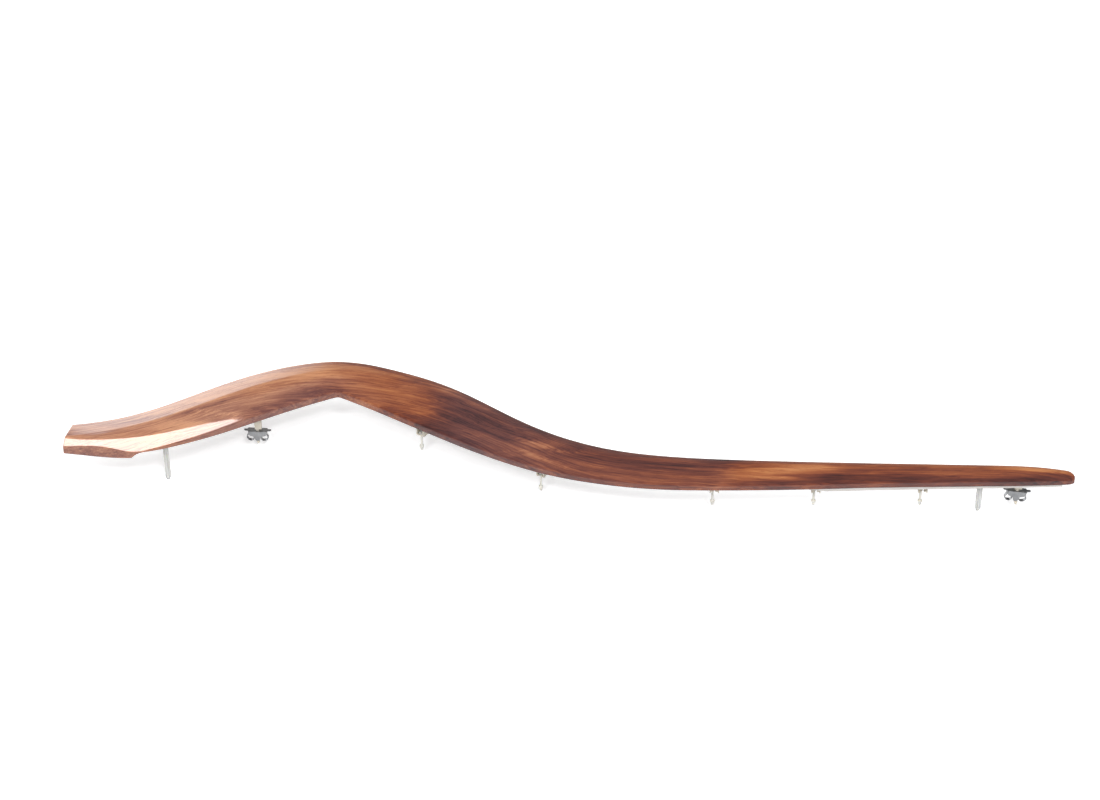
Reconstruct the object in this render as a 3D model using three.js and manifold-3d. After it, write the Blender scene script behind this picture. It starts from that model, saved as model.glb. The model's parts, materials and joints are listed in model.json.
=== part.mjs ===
// A curved grab rail: a lacquered hardwood cap over a moulded carrier, with the locating posts,
// snap pins in keyhole docks, spring clips on towers and screws that hang below it.
// Millimetres.  X runs along the rail, Y across it from the front edge to the back (far) edge,
// +Z is the show face.  Z = 0 is the cap's lower rim in the straight part of the rail; at the
// end the group is moved so that the middle of its footprint is the origin and it stands on Z = 0.
import * as THREE from "three";
import { mergeVertices } from "three/addons/utils/BufferGeometryUtils.js";
import Module from "manifold-3d";

const wasm = await Module();
wasm.setup();

// ---------------------------------------------------------------------------
// Driving dimensions
// ---------------------------------------------------------------------------
const END_LEFT = -488.2; // centreline start
const END_RIGHT = 480.6; // centreline end
const END_ROUND = 8; // rounding of the right-hand end
const RAISE = 8.5; // the wide left end sits this much above the straight part
const WALL = 4.5; // wall of the cap
const GAP = 0.35; // clearance between cap and carrier
const JOINT = 0.3; // clearance between a carrier boss and the part under it
const SCREW_PLAY = 0.05; // clearance under a screw head
const FRONT_DROP = 5.6; // deeper front rim on the first stretch of the wide end

const CAVITY_FROM = END_LEFT + 5; // hollow in the cap
const CAVITY_TO = 463;
const CARRIER_END_GAP = 0.4;
const CARRIER_INSET = WALL + GAP; // carrier edge to outer face of the cap
const CARRIER_WALL = 2.3;
const CARRIER_WEB = 2.4;
const BOSS_OVERLAP = 1.1; // bosses end this far below the top of the web
const BOSS_FACE = -1; // boss faces, from the local rim
const CUT_BELOW = -9; // depth that clears everything under the carrier

const LIP_FROM = 226; // carrier lip under the cap rim
const LIP_TO = 469;
const LIP_INSET = 0.8;
const LIP_DRAFT = 0.3;
const LIP_OPENING = { from: LIP_FROM + 5, to: 456, inset: 5.2, top: -0.9 };

const POCKET_PITCH = 62;
const RIB = 2; // cross rib between two pockets
const POCKETS_FROM = END_LEFT + 8;
const LAST_POCKET_START = 455;
const POCKETS_TO = 458;

// Plan curves of the outline (x, y).
const BACK = [
  [-506, 87.6], [-491, 88.3], [-475, 90.5], [-460, 93.7], [-445, 98.1], [-430, 104],
  [-415, 111.4], [-400, 120.3], [-385, 130.2], [-370, 140.6], [-355, 151], [-340, 161],
  [-325, 170.1], [-310, 178.1], [-295, 185], [-280, 190.8], [-265, 195.4], [-250, 198.6],
  [-235, 200], [-220, 199.1], [-205, 196.2], [-190, 191.6], [-175, 186.1], [-160, 180],
  [-145, 173.1], [-130, 165.1], [-115, 155.6], [-100, 144.6], [-85, 132.4], [-70, 119.6],
  [-55, 106.9], [-40, 95.1], [-25, 84.6], [-10, 75.4], [5, 67.6], [20, 61], [35, 55.6],
  [50, 51.2], [65, 47.8], [80, 45.2], [95, 43.1], [110, 41.5], [125, 40.2], [140, 39.2],
  [170, 37.5], [200, 36.2], [230, 35.1], [260, 34.2], [290, 33.3], [320, 32.6], [350, 31.8],
  [380, 31], [410, 30.3], [425, 29.8], [440, 28.9], [455, 27.1], [470, 24.2], [485, 20.4],
];
const FRONT_LEFT = [
  [-506, 58.2], [-493, 56], [-480, 53.9], [-465, 51.4], [-450, 49.2], [-436, 47.9],
  [-424, 48], [-412, 49.9], [-398, 53.9], [-382, 60.4], [-366, 68], [-350, 76.5],
  [-334, 85.7], [-318, 95.5], [-302, 105.7], [-286, 116], [-270, 126.1], [-254, 135.7],
  [-240, 143.7], [-231, 148.7], [-215, 157.5],
];
const FRONT_RIGHT = [
  [-250, 159.9], [-234, 150.7], [-220, 142.3], [-205, 133.2], [-190, 123.7], [-175, 113.8],
  [-160, 103.8], [-145, 93.8], [-130, 83.9], [-115, 74], [-100, 64.5], [-85, 55.4],
  [-70, 46.7], [-55, 38.5], [-40, 31.1], [-25, 24.6], [-10, 19.1], [5, 14.4], [20, 10.5],
  [35, 7.1], [50, 4.3], [65, 2.2], [80, 0.6], [95, -0.5], [110, -1], [125, -1.2],
  [155, -1.2], [185, -0.8], [215, 0], [245, 1.3], [275, 2.7], [305, 3.6], [335, 4.3],
  [365, 4.8], [395, 5.3], [425, 5.8], [455, 6.9], [485, 8.3],
];
// Cap section along the rail (x, value).  HEIGHT is above the local rim, the low crease's
// INSET is from the front edge, the high crease's from the back edge, and SOFT is the
// tangent length of the crease's rounding.
const LOW_CREASE_INSET = [
  [-493, 7.2], [-484, 7], [-470, 6.4], [-455, 6.6], [-440, 9], [-431, 11.1], [-422, 13.2],
  [-411, 12.9], [-402, 12], [-383, 10.9], [-365, 10], [-347, 8.6], [-329, 6.4], [-315, 5],
  [-290, 4.6], [-250, 5], [-150, 5.5], [0, 5], [200, 4.5], [485, 3.6],
];
const LOW_CREASE_HEIGHT = [
  [-493, 6.4], [-484, 6.8], [-470, 8.8], [-455, 10.2], [-440, 10.5], [-431, 9.9],
  [-422, 9.2], [-411, 9.5], [-402, 10], [-383, 10.6], [-365, 10.9], [-347, 10.9],
  [-329, 10.6], [-315, 9.9], [-290, 9.3], [-250, 9], [-200, 8.8], [-100, 8.3], [0, 8],
  [200, 7.6], [440, 7.2], [485, 6.6],
];
const FRONT_WALL_HEIGHT = [
  [-493, 1.9], [-484, 2.2], [-476, 3.9], [-468, 5.2], [-452, 6.2], [-440, 4.6], [-431, 2.3],
  [-424, 0.2], [-418, -0.2], [-411, 0.7], [-402, 1.9], [-383, 3.4], [-365, 4.3],
  [-347, 5.6], [-329, 7], [-315, 7.7], [-290, 8], [-250, 7.7], [-200, 7.4], [-100, 6.9],
  [0, 6.6], [200, 6.4], [440, 6], [485, 5.4],
];
const HIGH_CREASE_INSET = [
  [-493, 25.6], [-460, 25], [-400, 25], [-300, 26], [-235, 21], [-200, 18], [-150, 16],
  [-50, 14], [50, 11], [150, 8.5], [300, 7.5], [440, 7], [485, 4],
];
const HIGH_CREASE_HEIGHT = [
  [-493, 7], [-470, 8.4], [-440, 10.2], [-400, 10.9], [-300, 12.2], [-200, 12.4],
  [0, 11.6], [250, 10.3], [420, 9.3], [485, 8],
];
const BACK_WALL_HEIGHT = [
  [-493, 5], [-400, 5.6], [-300, 7.4], [-200, 9], [0, 9], [250, 8], [420, 7.4], [485, 6.2],
];
const LOW_CREASE_SOFT = [[-493, 0.9], [-380, 1.2], [-330, 2.2], [-290, 3], [485, 2.6]];
const HIGH_CREASE_SOFT = [
  [-493, 1.2], [-330, 1.6], [-270, 3.5], [-200, 6], [0, 6], [200, 4], [485, 3],
];
const CEILING_HEIGHT = [[-493, 2], [-380, 2], [-300, 3.6], [-200, 4.4], [0, 4.4], [485, 4]];

// Fixings.  Levels are in Z; heading turns about Z, clipTilt about Y, both in degrees.
const CAP_SCREWS = [-462, -350, -262, -205, -90, 50, 185, 284, 362]; // x, on the centreline
const REST_PADS = [-440, -228, 85, 308]; // x, on the centreline
const POSTS = [[-393.6, 68], [391.8, 17.4]]; // x, y
const PINS = [ // plate: top of the keyhole plate; skirt: depth of the walls below that plate
  { x: -146.9, y: 108.3, heading: -34, plate: -10.6, skirt: 0 },
  { x: -28.7, y: 41.5, heading: -28, plate: -10.6, skirt: 0 },
  { x: 136, y: 18.6, heading: -1.5, plate: -11.7, skirt: 1.4 },
  { x: 233.2, y: 18.4, heading: 1.5, plate: -11.7, skirt: 1.4 },
  { x: 335.7, y: 18.6, heading: 1, plate: -11.7, skirt: 1.4 },
];
const TOWERS = [
  { x: -309.5, y: 118, level: -14.4, tip: -29.4, clipTilt: 2.5, clipShift: 0 },
  { x: 427.6, y: 18, level: -13.4, tip: -29.6, clipTilt: 7, clipShift: 0.1 },
];

// ---------------------------------------------------------------------------
// Curves
// ---------------------------------------------------------------------------
const ramp = (from, to, value) => Math.min(1, Math.max(0, (value - from) / (to - from)));
const step = (from, to, value) => {
  const part = ramp(from, to, value);
  return part * part * (3 - 2 * part);
};
const softMin = (one, two, width) => 0.5 * (one + two - Math.sqrt((one - two) ** 2 + width * width));

// Natural cubic spline, going straight on past its last point.
function spline(table) {
  const last = table.length - 1;
  const x = table.map((point) => point[0]);
  const y = table.map((point) => point[1]);
  const bend = new Array(last + 1).fill(0); // second derivatives
  const ratio = [...bend];
  const partial = [...bend];
  const chord = (i) => (y[i + 1] - y[i]) / (x[i + 1] - x[i]);
  for (let i = 1; i < last; i++) {
    const before = x[i] - x[i - 1];
    const after = x[i + 1] - x[i];
    const pivot = 2 * (before + after) - before * ratio[i - 1];
    ratio[i] = after / pivot;
    partial[i] = (6 * (chord(i) - chord(i - 1)) - before * partial[i - 1]) / pivot;
  }
  for (let i = last - 1; i > 0; i--) bend[i] = partial[i] - ratio[i] * bend[i + 1];
  return (where) => {
    let i = 0;
    while (i < last - 1 && where > x[i + 1]) i++;
    const span = x[i + 1] - x[i];
    if (where > x[last]) return y[last] + (chord(i) + (bend[i] * span) / 6) * (where - x[last]);
    const left = (x[i + 1] - where) / span;
    const right = (where - x[i]) / span;
    const cubic = (left ** 3 - left) * bend[i] + (right ** 3 - right) * bend[i + 1];
    return left * y[i] + right * y[i + 1] + (cubic * span * span) / 6;
  };
}

function linear(table) {
  return (where) => {
    if (where <= table[0][0]) return table[0][1];
    for (let i = 1; i < table.length; i++) {
      const [x0, y0] = table[i - 1];
      const [x1, y1] = table[i];
      if (where <= x1) return y0 + ((where - x0) / (x1 - x0)) * (y1 - y0);
    }
    return table[table.length - 1][1];
  };
}

// Linear table averaged over +-reach.
const soft = (table, reach = 12) => {
  const value = linear(table);
  return (x) => (value(x - reach) + 2 * value(x - reach / 2) + 2 * value(x)
    + 2 * value(x + reach / 2) + value(x + reach)) / 8;
};

const backY = spline(BACK);
const frontLeftY = spline(FRONT_LEFT);
const frontRightY = spline(FRONT_RIGHT);
const frontY = (x) => {
  if (x < -250) return frontLeftY(x);
  if (x > -215) return frontRightY(x);
  return softMin(frontLeftY(x), frontRightY(x), 2.2);
};
const midY = (x) => 0.5 * (frontY(x) + backY(x));
const rise = (x) => RAISE * (1 - step(-430, -60, x));
const lowInset = soft(LOW_CREASE_INSET);
const lowHeight = soft(LOW_CREASE_HEIGHT);
const frontWallHeight = soft(FRONT_WALL_HEIGHT, 4);
const highInset = soft(HIGH_CREASE_INSET, 20);
const highHeight = soft(HIGH_CREASE_HEIGHT, 20);
const backWallHeight = soft(BACK_WALL_HEIGHT, 20);
const lowSoft = soft(LOW_CREASE_SOFT);
const highSoft = soft(HIGH_CREASE_SOFT);
const ceiling = soft(CEILING_HEIGHT);
const frontRim = (x) =>
  -FRONT_DROP * (1 - ramp(-423.5, -408.5, x)) ** 3 - 0.7 * (1 - step(-350, -300, x));

// Levels of the carrier: web top above the local rim, the others in Z.
const webTop = (x) => ceiling(x) - GAP;
const webUnder = (x) => rise(x) + webTop(x) - CARRIER_WEB;
const bossTop = (x) => rise(x) + webTop(x) - BOSS_OVERLAP;
const bossFace = (x) => rise(x) + BOSS_FACE;

// Line across the rail through the centreline at x: its start on the front edge, unit
// direction towards the back edge, and width.  It is square to the rail, except that it
// turns to a fixed angle at the left end.
function crossLine(x) {
  const reach = 14;
  const endAngle = 0.15;
  const slope = Math.atan2(midY(x + reach) - midY(x - reach), 2 * reach);
  const square = step(-487, -425, x);
  const angle = -slope * square + (1 - square) * endAngle;
  const dirX = Math.sin(angle);
  const dirY = Math.cos(angle);
  const middle = midY(x);
  const distanceTo = (edge, low, high) => {
    for (let i = 0; i < 50; i++) {
      const half = (low + high) / 2;
      if (middle + dirY * half < edge(x + dirX * half)) low = half;
      else high = half;
    }
    return (low + high) / 2;
  };
  const front = distanceTo(frontY, -60, 0);
  const back = distanceTo(backY, 0, 60);
  return { x: x + dirX * front, y: middle + dirY * front, dirX, dirY, width: back - front };
}

// Point on a cross line, given its distance from the front edge and height above the rim.
const pointOn = (line, across, height) => {
  const x = line.x + line.dirX * across;
  return [x, line.y + line.dirY * across, height + rise(x)];
};

// Open polyline of [across, height, tangent length]; corners with a tangent are rounded.
function soften(corners) {
  const steps = 2;
  const out = [];
  corners.forEach(([across, height, tangent], i) => {
    if (!tangent) {
      out.push([across, height]);
      return;
    }
    const towards = (other) => {
      const length = Math.hypot(other[0] - across, other[1] - height);
      const part = Math.min(tangent, 0.46 * length) / length;
      return [across + (other[0] - across) * part, height + (other[1] - height) * part];
    };
    const start = towards(corners[i - 1]);
    const end = towards(corners[i + 1]);
    for (let k = 0; k <= steps; k++) {
      const after = k / steps;
      const before = 1 - after;
      const blend = (from, corner, to) =>
        before * before * from + 2 * before * after * corner + after * after * to;
      out.push([blend(start[0], across, end[0]), blend(start[1], height, end[1])]);
    }
  });
  return out;
}

// ---------------------------------------------------------------------------
// Solids
// ---------------------------------------------------------------------------
function fromTriangles(positions, indices) {
  const shape = new THREE.BufferGeometry();
  shape.setAttribute("position", new THREE.BufferAttribute(new Float32Array(positions), 3));
  shape.setIndex(indices);
  return shape;
}

// Closed geometry to manifold, turned inside out if its faces point inwards.
function solid(shape) {
  const loose = shape.index ? shape.toNonIndexed() : shape.clone();
  loose.deleteAttribute("normal");
  loose.deleteAttribute("uv");
  const merged = mergeVertices(loose, 1e-3);
  const vertProperties = merged.attributes.position.array;
  const triVerts = new Uint32Array(merged.index.array);
  const make = () => new wasm.Manifold(new wasm.Mesh({ numProp: 3, vertProperties, triVerts }));
  const made = make();
  if (made.volume() >= 0) return made;
  for (let i = 0; i < triVerts.length; i += 3) {
    [triVerts[i + 1], triVerts[i + 2]] = [triVerts[i + 2], triVerts[i + 1]];
  }
  return make();
}

function geometry(body) {
  const { numProp, vertProperties, triVerts } = body.getMesh();
  const positions = [];
  for (let i = 0; i < vertProperties.length; i += numProp) {
    positions.push(...vertProperties.slice(i, i + 3));
  }
  return fromTriangles(positions, Array.from(triVerts));
}

// Rings of equal length joined into one closed body with fan caps.
function loft(rings) {
  const count = rings[0].length;
  const positions = rings.flat(2);
  const indices = [];
  for (let i = 0; i < rings.length - 1; i++) {
    for (let k = 0; k < count; k++) {
      const here = i * count + k;
      const next = i * count + ((k + 1) % count);
      indices.push(here, next, next + count, here, next + count, here + count);
    }
  }
  for (const i of [0, rings.length - 1]) {
    const centre = positions.length / 3;
    for (const axis of [0, 1, 2]) {
      positions.push(rings[i].reduce((total, point) => total + point[axis], 0) / count);
    }
    for (let k = 0; k < count; k++) {
      const here = i * count + k;
      const next = i * count + ((k + 1) % count);
      if (i === 0) indices.push(centre, next, here);
      else indices.push(centre, here, next);
    }
  }
  return solid(fromTriangles(positions, indices));
}

const box = (x0, x1, y0, y1, z0, z1) => {
  const shape = new THREE.BoxGeometry(x1 - x0, y1 - y0, z1 - z0);
  shape.translate((x0 + x1) / 2, (y0 + y1) / 2, (z0 + z1) / 2);
  return solid(shape);
};
const rod = (x, y, z0, z1, radius, sides) => {
  const shape = new THREE.CylinderGeometry(radius, radius, z1 - z0, sides);
  shape.rotateX(Math.PI / 2);
  shape.translate(x, y, (z0 + z1) / 2);
  return solid(shape);
};
const vectors = (points) => points.map(([x, y]) => new THREE.Vector2(x, y));
// Profile of (radius, z) turned about Z.
const lathe = (profile, sides) =>
  solid(new THREE.LatheGeometry(vectors(profile), sides).rotateX(Math.PI / 2));
// Outline in the XZ plane extruded from y0 to y1.
const slab = (outline, y0, y1) => {
  const options = { depth: y1 - y0, bevelEnabled: false };
  const shape = new THREE.ExtrudeGeometry(new THREE.Shape(vectors(outline)), options);
  shape.rotateX(Math.PI / 2);
  shape.translate(0, y1, 0);
  return solid(shape);
};
const flipX = (points, sign = -1) => points.map(([x, z]) => [sign * x, z]);
// Closed outline from its +X half.
const mirrored = (half) => [...half, ...flipX(half).reverse()];

function place(body, x, y, z, turnZ = 0, turnY = 0) {
  const matrix = new THREE.Matrix4().makeTranslation(x, y, z)
    .multiply(new THREE.Matrix4().makeRotationZ(THREE.MathUtils.degToRad(turnZ)))
    .multiply(new THREE.Matrix4().makeRotationY(THREE.MathUtils.degToRad(turnY)));
  return solid(geometry(body).applyMatrix4(matrix));
}

// Stations along the rail, closer where the outline bends sharply.
function stationPitch(x) {
  if (x > -436 && x < -408) return 3.5;
  if (x > -262 && x < -210) return 5;
  if (x > 150 && x < 420) return 22;
  return 14;
}
const GRID = [];
for (let x = END_LEFT; x < END_RIGHT; x += stationPitch(x)) GRID.push(x);
const stationsBetween = (from, to) =>
  [from, ...GRID.filter((x) => x > from + 0.8 && x < to - 0.8), to];

// Loft of a section(x, width) that returns [across, height] points.
const loftAlong = (from, to, section) =>
  loft(stationsBetween(from, to).map((x) => {
    const line = crossLine(x);
    return section(x, line.width).map(([across, height]) => pointOn(line, across, height));
  }));
// Four-sided bar that follows the rail, inset from both edges.
const channel = (from, to, inset, top, low) =>
  loftAlong(from, to, (x, width) => [
    [inset, low(x)], [inset, top(x)], [width - inset, top(x)], [width - inset, low(x)],
  ]);

// ---------------------------------------------------------------------------
// Hardwood cap
// ---------------------------------------------------------------------------
const CAP_HOLE = 1.45; // radius of the cap screws' holes

function capSection(x, inset = 0, drop = 0) {
  const line = crossLine(x);
  const frontX = line.x;
  const backX = line.x + line.dirX * line.width;
  const intoEnd = Math.max(0, x - (END_RIGHT - END_ROUND));
  const round = END_ROUND - Math.sqrt(Math.max(0, END_ROUND ** 2 - intoEnd ** 2));
  const front = inset + 0.45 * round;
  const back = line.width - inset - 0.75 * round;
  const sink = drop + 0.3 * round;
  const high = back - Math.min(highInset(backX), 0.72 * (back - front));
  const low = Math.min(front + lowInset(frontX) * Math.min(1, (back - front) / 14), high - 1.5);
  return soften([
    [front, frontRim(frontX), 0],
    [front + 0.35, frontWallHeight(frontX) - sink, 0.8 + 0.6 * step(-340, -280, frontX)],
    [low, lowHeight(frontX) - sink, lowSoft(frontX)],
    [high, highHeight(backX) - sink, highSoft(backX)],
    [back - 0.3, backWallHeight(backX) - sink, 1.8],
    [back, 0, 0],
  ]).map(([across, height]) => pointOn(line, across, height));
}

function woodCap() {
  const stations = [
    END_LEFT + 1.2,
    ...stationsBetween(END_LEFT + 8, END_RIGHT - 9),
    ...[6, 4, 2.2, 0.9, 0.2].map((before) => END_RIGHT - before),
  ];
  let cap = loft([capSection(END_LEFT, 0.7, 0.9), ...stations.map((x) => capSection(x))]);
  cap = cap.subtract(channel(CAVITY_FROM, CAVITY_TO, WALL, ceiling, () => CUT_BELOW));
  for (const x of CAP_SCREWS) {
    const end = rise(x) + ceiling(x) + 4.3;
    cap = cap.subtract(rod(x, midY(x), webUnder(x), end, CAP_HOLE, 10));
  }
  return cap;
}

// ---------------------------------------------------------------------------
// Carrier: moulded tray inside the cap, with a lip under the rim at the narrow end
// ---------------------------------------------------------------------------
const SEAT_DEPTH = 1.2; // cap screw seats, below the web
const POST_BOSS_DROP = 2.5; // post bosses, below the other boss faces
const SCREW_HOLE = 1.4; // radius of the dock and tower screws' holes
const DOCK_SCREWS = [-6.8, 9.6]; // along the dock
const TOWER_SCREWS = [-7.4, 7.4]; // along X

const postBossFace = (x) => bossFace(x) - POST_BOSS_DROP;
const dockScrewSpots = ({ x, y, heading }) => {
  const angle = THREE.MathUtils.degToRad(heading);
  return DOCK_SCREWS.map((along) => [x + Math.cos(angle) * along, y + Math.sin(angle) * along]);
};
const towerScrewSpots = ({ x, y }) => TOWER_SCREWS.map((along) => [x + along, y]);

function carrierTray() {
  const skirtLow = (x) => -0.6 - 0.3 * step(-440, -380, x);
  const from = CAVITY_FROM + CARRIER_END_GAP;
  const to = CAVITY_TO - CARRIER_END_GAP;
  let tray = channel(from, to, CARRIER_INSET, webTop, skirtLow);

  tray = tray.add(loftAlong(LIP_FROM, LIP_TO, (x, width) => {
    const low = x < LIP_FROM + 1 ? -1 : -3.6 + 0.9 * step(300, 460, x);
    const lowInner = LIP_INSET + LIP_DRAFT;
    return [[LIP_INSET, -GAP], [lowInner, low], [width - lowInner, low], [width - LIP_INSET, -GAP]];
  }));
  // the middle of the lip is open, so that the bosses stand clear
  const open = LIP_OPENING;
  tray = tray.subtract(channel(open.from, open.to, open.inset, () => open.top, () => CUT_BELOW));

  for (let x = POCKETS_FROM; x < LAST_POCKET_START; x += POCKET_PITCH) {
    const end = Math.min(x + POCKET_PITCH - RIB, POCKETS_TO);
    const inset = CARRIER_INSET + CARRIER_WALL;
    const top = (where) => webTop(where) - CARRIER_WEB;
    tray = tray.subtract(channel(x, end, inset, top, () => CUT_BELOW));
  }
  return tray;
}

function backingCarrier() {
  let carrier = carrierTray();
  const drillBoss = (spots, face) => {
    for (const [x, y] of spots) {
      carrier = carrier.subtract(rod(x, y, face - 1, face + 3.4, SCREW_HOLE, 10));
    }
  };
  for (const x of CAP_SCREWS) {
    const y = midY(x);
    const under = webUnder(x);
    carrier = carrier.add(rod(x, y, under - SEAT_DEPTH, bossTop(x), 4.2, 12));
    carrier = carrier.subtract(rod(x, y, under - 4, under + 6, CAP_HOLE, 10));
  }
  for (const station of REST_PADS) {
    const line = crossLine(station);
    const [x, y, rim] = pointOn(line, line.width / 2, 0);
    carrier = carrier.add(box(x - 9, x + 9, y - 6, y + 6, rim - 5, bossTop(x)));
  }
  for (const [x, y] of POSTS) {
    const face = postBossFace(x);
    carrier = carrier.add(rod(x, y, face, bossTop(x), 4.5, 14));
    carrier = carrier.subtract(rod(x, y, face - 1, face + 4.6, 2.3, 10));
  }
  for (const pin of PINS) {
    const face = bossFace(pin.x);
    const pad = box(-10.6, 13.4, -4.5, 4.5, 0, bossTop(pin.x) - face);
    carrier = carrier.add(place(pad, pin.x, pin.y, face, pin.heading));
    drillBoss(dockScrewSpots(pin), face);
  }
  for (const tower of TOWERS) {
    const { x, y } = tower;
    const face = bossFace(x);
    carrier = carrier.add(box(x - 11, x + 11, y - 4.6, y + 4.6, face, bossTop(x)));
    drillBoss(towerScrewSpots(tower), face);
  }
  return carrier;
}

// ---------------------------------------------------------------------------
// Screws, posts, pins and docks
// ---------------------------------------------------------------------------
const CAP_SCREW_LENGTH = 7.6;
const DOCK_SCREW_LENGTH = 4.9;
const TOWER_SCREW_LENGTH = 5.1;

// Pan-head screw with a cross recess, its head hanging just under a seat, shank towards +Z.
function screw(length, x, y, seat) {
  const body = lathe([
    [0, -1.5], [1.2, -1.45], [2, -0.9], [2.1, 0], [1.05, 0], [1.05, length - 1.4], [0, length],
  ], 8)
    .subtract(box(-1.2, 1.2, -0.3, 0.3, -2, -0.75))
    .subtract(box(-0.3, 0.3, -1.2, 1.2, -2, -0.75));
  return place(body, x, y, seat - SCREW_PLAY);
}

// Cruciform post with a collar and a spigot for the carrier's socket.
const POST_TIP = -37.3;
function locatingPost(x, y) {
  const top = postBossFace(x) - JOINT;
  const leg = slab(mirrored([
    [2.7, top - 1], [2.7, POST_TIP + 3.4], [1.4, POST_TIP + 0.6], [1.1, POST_TIP],
  ]), -0.85, 0.85);
  return rod(x, y, top - 1.8, top, 4.2, 14)
    .add(rod(x, y, top - 0.5, top + 4.4, 1.9, 10))
    .add(place(leg, x, y, 0))
    .add(place(leg, x, y, 0, 90))
    .add(box(x - 1.1, x + 1.1, y - 1.1, y + 1.1, POST_TIP, POST_TIP + 6));
}

const PLATE = 1.5; // keyhole plate
const PIN_FLOAT = 2.5; // travel of a snap pin along its slot
const SLOT = 1.65; // half the slot's width
const DOCK_HALF = 4.2; // half the dock's width
const EAR = 1.8; // thickness of the dock's ears
const PIN_TIP = -32;
const dockTop = (x) => bossFace(x) - JOINT;

// Dock, built with its top at z = 0 and the slot along +X; -Y is its open front.
function pinDock({ x, y, heading, plate, skirt }) {
  const top = dockTop(x);
  const plateTop = plate - top;
  const plateLow = plateTop - PLATE;
  const low = plateLow - skirt;
  const room = (z0, z1) => box(-1.9, 4.7, -6, 3.2, z0, z1);
  const cut = [plateLow - 1, plateTop + 1];
  let dock = box(-10.4, 13.2, -DOCK_HALF, DOCK_HALF, -EAR, 0)
    .add(box(-3, 5.8, -DOCK_HALF, DOCK_HALF, low, -0.5))
    .subtract(room(plateTop, -EAR - 0.4)) // for the pin's head
    .subtract(room(low - 1, plateLow)) // under the plate
    .subtract(box(0, PIN_FLOAT, -SLOT, SLOT, ...cut))
    .subtract(rod(0, 0, ...cut, SLOT, 12))
    .subtract(rod(PIN_FLOAT, 0, ...cut, SLOT, 12))
    .subtract(box(0.2, PIN_FLOAT - 0.2, -6, 0, ...cut)); // throat from the front
  for (const along of DOCK_SCREWS) dock = dock.subtract(rod(along, 0, -3, 1, SCREW_HOLE, 10));
  return place(dock, x, y, top, heading);
}

// Pin in the slot's left end, with a bar across its head.
function snapPin({ x, y, heading, plate }) {
  const low = plate - PLATE;
  const pin = lathe([
    [0, plate + 1.5], [1.5, plate + 1.5], [1.5, plate + 0.3], [1.25, plate + 0.3],
    [1.25, low - 0.35], [1.7, low - 0.35], [1.7, low - 1.2], [1.15, low - 1.5],
    [1.15, PIN_TIP + 6], [2.4, PIN_TIP + 6.2], [2.55, PIN_TIP + 5.2], [1.5, PIN_TIP + 3.4],
    [1.75, PIN_TIP + 2.8], [0.6, PIN_TIP + 0.1], [0, PIN_TIP],
  ], 12);
  const head = box(-1.5, 1.5, -2.8, 2.8, plate + 0.3, plate + 1.6);
  return place(pin.add(head), x, y, 0, heading);
}

// ---------------------------------------------------------------------------
// Towers and spring clips
// ---------------------------------------------------------------------------
const TOWER_FLANGE = 2;
const SHEET = 0.8; // spring clip sheet
const CLIP_HALF = 3.6; // half the clip's width
const CLIP_LIFT = 0.3; // top of the clip above its level
// Centreline of the +X spring leg (x, z), from the top plate round its curl.
const SPRING_LEG = [
  [8.9, -0.2], [8.9, -5.4], [10.9, -8.3], [8.9, -11.6], [5.4, -12.4], [3.2, -10.2], [3.3, -7.6],
];

function clipTower({ x, y, level, tip }) {
  const top = bossFace(x) - JOINT;
  const blade = mirrored([[1.4, level + 4], [1.4, tip + 2.6], [0.7, tip]]);
  let tower = box(-10.8, 10.8, -4.4, 4.4, top - TOWER_FLANGE, top)
    .add(box(-2.6, 4.2, -2.6, 2.6, level + 2.4, top - 1))
    .add(slab(blade, -2, 2));
  for (const along of TOWER_SCREWS) {
    tower = tower.subtract(rod(along, 0, top - 3, top + 1, SCREW_HOLE, 10));
  }
  return tower.translate([x, y, 0]);
}

// Outline of a strip of sheet that follows a path, with mitred corners.
function sheetOutline(path) {
  const normals = path.slice(1).map(([x, z], i) => {
    const run = x - path[i][0];
    const climb = z - path[i][1];
    const length = Math.hypot(run, climb);
    return [-climb / length, run / length];
  });
  const side = (sign) => path.map(([x, z], i) => {
    const before = normals[Math.max(0, i - 1)];
    const after = normals[Math.min(normals.length - 1, i)];
    const miterX = before[0] + after[0];
    const miterZ = before[1] + after[1];
    const scale = (sign * SHEET) / (miterX ** 2 + miterZ ** 2);
    return [x + miterX * scale, z + miterZ * scale];
  });
  return [...side(1), ...side(-1).reverse()];
}

// Bent sheet clip: top plate with wings and an opening, front and back skirts that end in
// a tongue, and two curled spring legs.
function springClip({ x, y, level, clipTilt, clipShift }) {
  const wing = [
    [9.2, -SHEET], [11.4, -SHEET], [13.4, -SHEET + 0.5], [13.3, 0.45], [11.3, 0], [9.2, 0],
  ];
  const leg = sheetOutline(SPRING_LEG);
  const skirt = mirrored([[9.2, -0.1], [9, -5.6], [4.4, -6.4], [2.6, -10.2], [0.9, -11.4]]);
  let clip = box(-9.6, 9.6, -CLIP_HALF, CLIP_HALF, -SHEET, 0);
  for (const sign of [-1, 1]) {
    clip = clip.add(slab(flipX(wing, sign), -1.6, 1.6)).add(slab(flipX(leg, sign), -1.8, 1.8));
  }
  clip = clip.add(slab(skirt, -CLIP_HALF, -CLIP_HALF + SHEET))
    .add(slab(skirt, CLIP_HALF - SHEET, CLIP_HALF))
    .subtract(box(-2, 2, -2.5, 2.5, -2, 1));
  return place(clip, x + clipShift, y, level + CLIP_LIFT, 0, clipTilt);
}

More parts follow.
